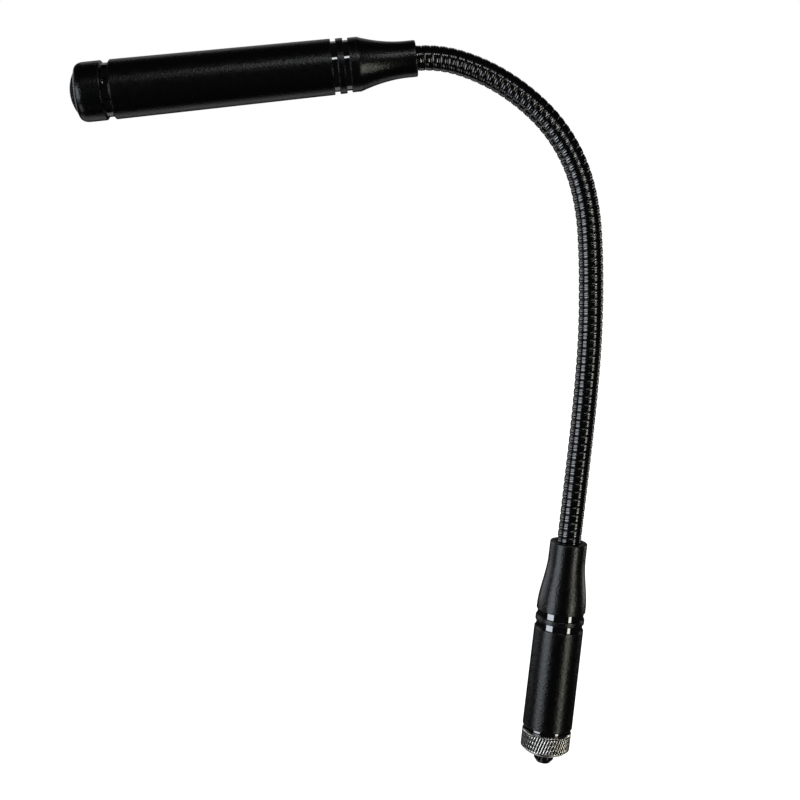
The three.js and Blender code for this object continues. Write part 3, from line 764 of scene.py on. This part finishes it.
def contact(number, middle):
    """A gold flashed socket contact with a countersunk mouth."""
    place = Matrix.Translation((middle.x, middle.y, 0)) @ Matrix.Scale(MM, 4)
    turned(f"contact_{number}", [
        (0, CONTACT_BORE_TOP, 0), (CONTACT_BORE, CONTACT_BORE_TOP, 0),
        (CONTACT_THROAT, CONTACT_BOTTOM + CONTACT_SINK, 0), (CONTACT_MOUTH, CONTACT_BOTTOM, 0),
        (CONTACT_RADIUS, CONTACT_BOTTOM, CONTACT_FILLET), (CONTACT_RADIUS, CONTACT_TOP, 0),
        (0, CONTACT_TOP, 0),
    ], place, "base", GOLD, [f"plug_contact_{number}"], CONTACT_SIDES, False)


# ---------------------------------------------------------------- head
HEAD_BOOT_NECK = 5.75
HEAD_FLARE_START = 3.2
HEAD_FLARE_END = 2.9  # how far below the boot's top the flare ends
HEAD_FLARE_POWER = 1.9
HEAD_BOOT_RIM = 2.4  # straight length above the flare
HEAD_SOCKET_RADIUS = 6.8
HEAD_SOCKET_DEPTH = 4.6
HEAD_BAND_BORE = 7.7
HEAD_CORE = 7.9  # radius of the glossy core in the grooves
HEAD_CORE_LOW = 6.5
HEAD_CORE_LOW_LENGTH = 4.3
HEAD_CORE_HIGH = 7.55
HEAD_CORE_LENGTH = 7.0  # how far the core goes into the tube
HEAD_BORE = 7.85
HEAD_TUBE_RADIUS = 8.8  # at its neck end
BEVEL_HEIGHT = 0.55  # bevel on both sides of the front groove
BEVEL_WIDTH = 0.75
BEVEL_FILLET = 0.3
BEVEL_EDGE = 0.12
RIM_DEPTH = 2.9  # length of the front ring's rounded rim
RIM_STEPS = 16
RIM_FLAT = 0.3  # width of the flat between the rim and the grille
RIM_EDGE = 0.1  # height of the edge between the rim and the seat
RIM_EDGE_FILLET = 0.05
RIM_SEAT = 1.3  # how deep the grille's seat is
DOME_RADIUS = 7.3
DOME_GAP = 0.06  # between the grille's hem and its seat


def make_head():
    """The head's flared boot, band, groove core, tube and front ring, from the neck to the front."""
    boot_low, boot_high, boot_radius = span("head_boot", HEAD)
    flare = []
    for z in between(HEAD_FLARE_START, boot_high - HEAD_FLARE_END, FLARE_STEPS):
        share = len(flare) / FLARE_STEPS
        flare.append((HEAD_BOOT_NECK + (boot_radius - HEAD_BOOT_NECK) * share ** HEAD_FLARE_POWER, z, 0))
    socket_low = boot_high - HEAD_SOCKET_DEPTH
    turned("head_boot_shell", [
        (BOOT_HOLLOW, BOOT_MOUTH_DEPTH, 0), (BOOT_MOUTH, BOOT_MOUTH_DEPTH, 0),
        (BOOT_MOUTH, boot_low, SOFT_EDGE), (HEAD_BOOT_NECK, boot_low, BOOT_END_FILLET), *flare,
        (boot_radius, boot_high - HEAD_BOOT_RIM, SOFT_EDGE), (boot_radius, boot_high, CHAMFER),
        (HEAD_SOCKET_RADIUS, boot_high, 0), (HEAD_SOCKET_RADIUS, socket_low, 0), (BOOT_HOLLOW, socket_low, 0),
    ], HEAD, "head", SATIN, ["head_boot"])

    make_band("head_band", "head_trim_band", HEAD_BAND_BORE, HEAD, "head")

    low, high, front_radius = span("head_tube", HEAD)
    core_low, core_high = boot_high - HEAD_CORE_LOW_LENGTH, low + HEAD_CORE_LENGTH
    turned("head_groove_core", [
        (CABLE_BORE, core_low, 0), (HEAD_CORE_LOW, core_low, 0), (HEAD_CORE_LOW, boot_high - SEAT, 0),
        (HEAD_CORE, boot_high - SEAT, 0), (HEAD_CORE, low + SEAT, 0), (HEAD_CORE_HIGH, low + SEAT, 0),
        (HEAD_CORE_HIGH, core_high, 0), (CABLE_BORE, core_high, 0),
    ], HEAD, "head", GLOSS, ["head_coupler"])
    turned("head_tube_shell", [
        (HEAD_BORE, low, 0), (HEAD_TUBE_RADIUS, low, CHAMFER),
        (front_radius, high - BEVEL_HEIGHT, BEVEL_FILLET), (front_radius - BEVEL_WIDTH, high, BEVEL_EDGE),
        (HEAD_BORE, high, 0),
    ], HEAD, "head", SATIN, ["head_tube"])

    ring_low, ring_high, ring_radius = span("front_ring", HEAD)
    rim_inner, seat_radius = DOME_RADIUS + RIM_FLAT, DOME_RADIUS + DOME_GAP
    rim = []
    for a in between(0, math.pi / 2, RIM_STEPS):
        r = rim_inner + (ring_radius - rim_inner) * math.cos(a)
        rim.append((r, ring_high - RIM_DEPTH * (1 - math.sin(a)), 0))
    turned("front_ring_shell", [
        (HEAD_BORE, ring_low, 0), (ring_radius - BEVEL_WIDTH, ring_low, BEVEL_EDGE),
        (ring_radius, ring_low + BEVEL_HEIGHT, BEVEL_FILLET), *rim,
        (seat_radius, ring_high - RIM_EDGE, RIM_EDGE_FILLET), (seat_radius, ring_high - RIM_SEAT, 0),
        (HEAD_BORE, ring_high - RIM_SEAT, 0),
    ], HEAD, "head", SATIN, ["front_ring"])


PORT_COUNT = 10
PORT_WIDTH_DEG = 11.5
PORT_DEPTH = 0.9
PORT_WALL = 0.55  # plain wall at each end of a port
PORT_CORE = 8.5
PORT_BORE = 6.8
PORT_SIDES = 360
PORT_SHARP_DEG = 40


def port_cut(angle, height):
    """Square ports, evenly spaced round the core."""
    step = 360 / PORT_COUNT
    off = abs((math.degrees(angle) + step / 2) % step - step / 2)
    return PORT_DEPTH if off < PORT_WIDTH_DEG / 2 else 0.0


def make_port_core():
    """The glossy core in the groove behind the front ring, with the capsule's rear ports cut in it."""
    low = span("head_tube", HEAD)[1] - SEAT
    high = span("front_ring", HEAD)[0] + SEAT
    back, front, _ = span("capsule_carrier", HEAD)
    wall_low, wall_high = low + PORT_WALL, high - PORT_WALL
    rows = [(PORT_BORE, back, 0), (HEAD_CORE_HIGH, back, 0), (HEAD_CORE_HIGH, low, 0), (PORT_CORE, low, 0)]
    rows += [(PORT_CORE, wall_low, 0), (PORT_CORE, wall_low + TRIM, 1)]
    rows += [(PORT_CORE, wall_high - TRIM, 1), (PORT_CORE, wall_high, 0)]
    rows += [(PORT_CORE, high, 0), (HEAD_CORE_HIGH, high, 0)]
    rows += [(HEAD_CORE_HIGH, front, 0), (PORT_BORE, front, 0)]
    core = relief("port_core", rows, PORT_SIDES, HEAD, "head", GLOSS, port_cut, ["capsule_carrier"])
    core.data.set_sharp_from_angle(angle=math.radians(PORT_SHARP_DEG))


MESH_PITCH = 0.62
WIRE_RADIUS = 0.13
WIRE_SIDES = 6
WIRE_STEPS = 4  # steps in each cell of the mesh
WIRE_INSET = 0.15  # how far short of the dome's edge the wires stop
WIRE_LAST = 0.4  # how far inside the edge the outermost wires lie
DOME_SPHERE = 12.5
HEM_DEPTH = 1.0  # how far the hem reaches below the dome's edge
HEM_WIDTH = 0.55
HEM_TOP_WIDTH = 0.4
HEM_RISE = (0.12, 0.22)  # how far its outer and inner edges stand above the dome's edge
HEM_FILLET = 0.1


def dome_height(r, tip):
    """The dome's height at a radius from its axis."""
    return tip - DOME_SPHERE + math.sqrt(DOME_SPHERE ** 2 - r ** 2)


def woven_wire(index, along_x, tip, verts, faces):
    """One wire of the domed mesh, over one crossing wire and under the next."""
    offset = index * MESH_PITCH
    reach = math.sqrt((DOME_RADIUS - WIRE_INSET) ** 2 - offset ** 2)
    steps = max(2, round(2 * reach / MESH_PITCH * WIRE_STEPS))
    start = len(verts)
    for i in range(steps + 1):
        t = -reach + 2 * reach * i / steps
        phase = math.pi * (t / MESH_PITCH + index) + (0 if along_x else math.pi)
        base = dome_height(math.hypot(t, offset), tip - 2 * WIRE_RADIUS) + WIRE_RADIUS * math.cos(phase)
        for k in range(WIRE_SIDES):
            a = 2 * math.pi * k / WIRE_SIDES
            side, up = WIRE_RADIUS * math.cos(a), WIRE_RADIUS * math.sin(a)
            verts.append((t, offset + side, base + up) if along_x else (offset + side, t, base + up))
    for i in range(steps):
        for k in range(WIRE_SIDES):
            n = (k + 1) % WIRE_SIDES
            a, b = start + i * WIRE_SIDES, start + (i + 1) * WIRE_SIDES
            faces.append((a + k, a + n, b + n, b + k))
    faces.append([start + k for k in range(WIRE_SIDES)])
    faces.append([start + steps * WIRE_SIDES + k for k in range(WIRE_SIDES)])


def make_grille():
    """The domed woven mesh, and the pressed hem round it."""
    tip = span("front_grille", HEAD)[1]
    verts, faces = [], []
    last = int((DOME_RADIUS - WIRE_LAST) / MESH_PITCH)
    for index in range(-last, last + 1):
        woven_wire(index, True, tip, verts, faces)
        woven_wire(index, False, tip, verts, faces)
    finished("grille_mesh", verts, faces, HEAD, "head", GRILLE, ["front_grille"],
             {"edge": [0.0] * len(verts)})
    edge = dome_height(DOME_RADIUS, tip)
    turned("grille_hem", [
        (DOME_RADIUS - HEM_WIDTH, edge - HEM_DEPTH, 0), (DOME_RADIUS + TRIM, edge - HEM_DEPTH, 0),
        (DOME_RADIUS + TRIM, edge + HEM_RISE[0], HEM_FILLET),
        (DOME_RADIUS - HEM_TOP_WIDTH, edge + HEM_RISE[1], HEM_FILLET),
    ], HEAD, "head", GRILLE)


# ---------------------------------------------------------------- CAD nodes that stay
KEPT_MATERIALS = {
    "base_ferrule": STEEL, "head_ferrule": STEEL, "ring_clip": NICKEL, "capsule": NICKEL,
    "capsule_boot": RUBBER, "foam_disc": FOAM, "preamp_board": BOARD, "board_transistor": PLASTIC,
    "coupling_capacitor": BLUE_DIP, "filter_capacitor": CAN, "capsule_lead_1": RED_SHEATH,
    "capsule_lead_2": WHITE_SHEATH, "base_cable": RUBBER, "head_cable": RUBBER,
}


def finish_kept_nodes():
    """Gives each CAD node that stays visible its own material."""
    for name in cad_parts:
        material = RUBBER if name.startswith("neck_cable") else KEPT_MATERIALS.get(name)
        if material:
            mesh = bpy.data.objects[name].data
            mesh.materials.clear()
            mesh.materials.append(material)


# ---------------------------------------------------------------- camera, light and floor
def make_camera():
    """The camera at the photograph's viewing angle."""
    data = bpy.data.cameras.new("camera")
    data.lens = CAMERA_LENS
    data.sensor_width = CAMERA_SENSOR
    data.shift_x, data.shift_y = CAMERA_SHIFT
    data.clip_start, data.clip_end = CAMERA_CLIP
    camera = bpy.data.objects.new("camera", data)
    bpy.context.scene.collection.objects.link(camera)
    aim = Vector(CAMERA_AIM).to_track_quat("-Z", "Y").to_matrix().to_4x4()
    roll = Matrix.Rotation(math.radians(CAMERA_ROLL_DEG), 4, "Z")
    camera.matrix_world = Matrix.Translation(Vector(CAMERA_PLACE) * MM) @ aim @ roll
    bpy.context.scene.camera = camera


LIGHT_TARGET = Vector((-80, 0, 130)) * MM
# name, azimuth and elevation seen from the object (azimuth 0 is towards the camera, 90 to its right),
# distance, width and height in metres, power in watts, colour
LIGHTS = (
    ("window", -56, -8, 1.4, 0.85, 0.95, 9, (0.88, 0.94, 1.0)),
    ("window_edge", -122, 0, 1.4, 1.2, 0.9, 4.2, (0.94, 0.96, 1.0)),
    ("overhead", 8, 38, 1.4, 0.7, 0.2, 2.0, (0.97, 0.98, 1.0)),
    ("strip_right", 44, -10, 1.4, 0.3, 0.75, 3.6, (1.0, 0.98, 0.86)),
    ("strip_edge", 118, 0, 1.4, 0.5, 0.7, 1.6, (1.0, 0.99, 0.9)),
    ("low_left", -60, -58, 1.4, 0.5, 0.5, 1.2, (1.0, 1.0, 1.0)),
    ("under", 180, -50, 1.2, 1.4, 0.7, 1.5, (1.0, 1.0, 1.0)),
    ("rim_back", 180, 35, 1.5, 1.2, 0.8, 1.2, (1.0, 1.0, 1.0)),
)


def make_lights():
    """Soft area lights that face the microphone. The camera doesn't see them."""
    for name, azimuth, elevation, distance, width, height, power, colour in LIGHTS:
        data = bpy.data.lights.new(name, "AREA")
        data.shape = "RECTANGLE"
        data.size, data.size_y = width, height
        data.energy = power
        data.color = colour
        lamp = bpy.data.objects.new(name, data)
        bpy.context.scene.collection.objects.link(lamp)
        a, e = math.radians(azimuth), math.radians(elevation)
        away = Vector((math.sin(a) * math.cos(e), -math.cos(a) * math.cos(e), math.sin(e)))
        lamp.location = LIGHT_TARGET + away * distance
        lamp.rotation_euler = (-away).to_track_quat("-Z", "Y").to_euler()
        lamp.visible_camera = False


WORLD_SEEN = 1.0  # how bright the background looks
WORLD_LIGHT = 0.015  # how much light it gives


def make_world():
    """White behind the object, and dim grey all round it in its reflections."""
    world = bpy.data.worlds.new("world")
    bpy.context.scene.world = world
    world.use_nodes = True
    tree = world.node_tree
    background = tree.nodes["Background"]
    background.inputs["Color"].default_value = (1, 1, 1, 1)
    path = tree.nodes.new("ShaderNodeLightPath")
    strength = tree.nodes.new("ShaderNodeMapRange")
    strength.inputs["To Min"].default_value = WORLD_LIGHT
    strength.inputs["To Max"].default_value = WORLD_SEEN
    tree.links.new(path.outputs["Is Camera Ray"], strength.inputs["Value"])
    tree.links.new(strength.outputs["Result"], background.inputs["Strength"])
    bpy.context.scene.view_settings.view_transform = "Standard"


FLOOR_DROP = 0.35  # metres below the microphone
FLOOR_SIZE = 12.0  # metres
FLOOR_GLOW = 1.2


def make_floor():
    """A plain pale floor, well below the microphone, which is held up by its plug."""
    mesh = bpy.data.meshes.new("floor")
    half = FLOOR_SIZE / 2
    z = cad_box[0].z - FLOOR_DROP
    corners = [(-half, -half, z), (half, -half, z), (half, half, z), (-half, half, z)]
    mesh.from_pydata(corners, [], [(0, 1, 2, 3)])
    floor = bpy.data.objects.new("floor", mesh)
    bpy.context.scene.collection.objects.link(floor)
    p = Paint("pale_floor")
    p.set(Base_Color=p.mix(p.noise(400.0), (0.9, 0.9, 0.9), (0.95, 0.95, 0.95)), Roughness=0.9)
    p.set(Emission_Color=(1, 1, 1, 1), Emission_Strength=FLOOR_GLOW)
    mesh.materials.append(p.material)
    floor.visible_glossy = False
    floor.visible_diffuse = False


# ---------------------------------------------------------------- build
make_camera()
make_neck()
make_base()
make_ring()
make_plug()
make_head()
make_port_core()
make_grille()
finish_kept_nodes()
make_lights()
make_world()
make_floor()
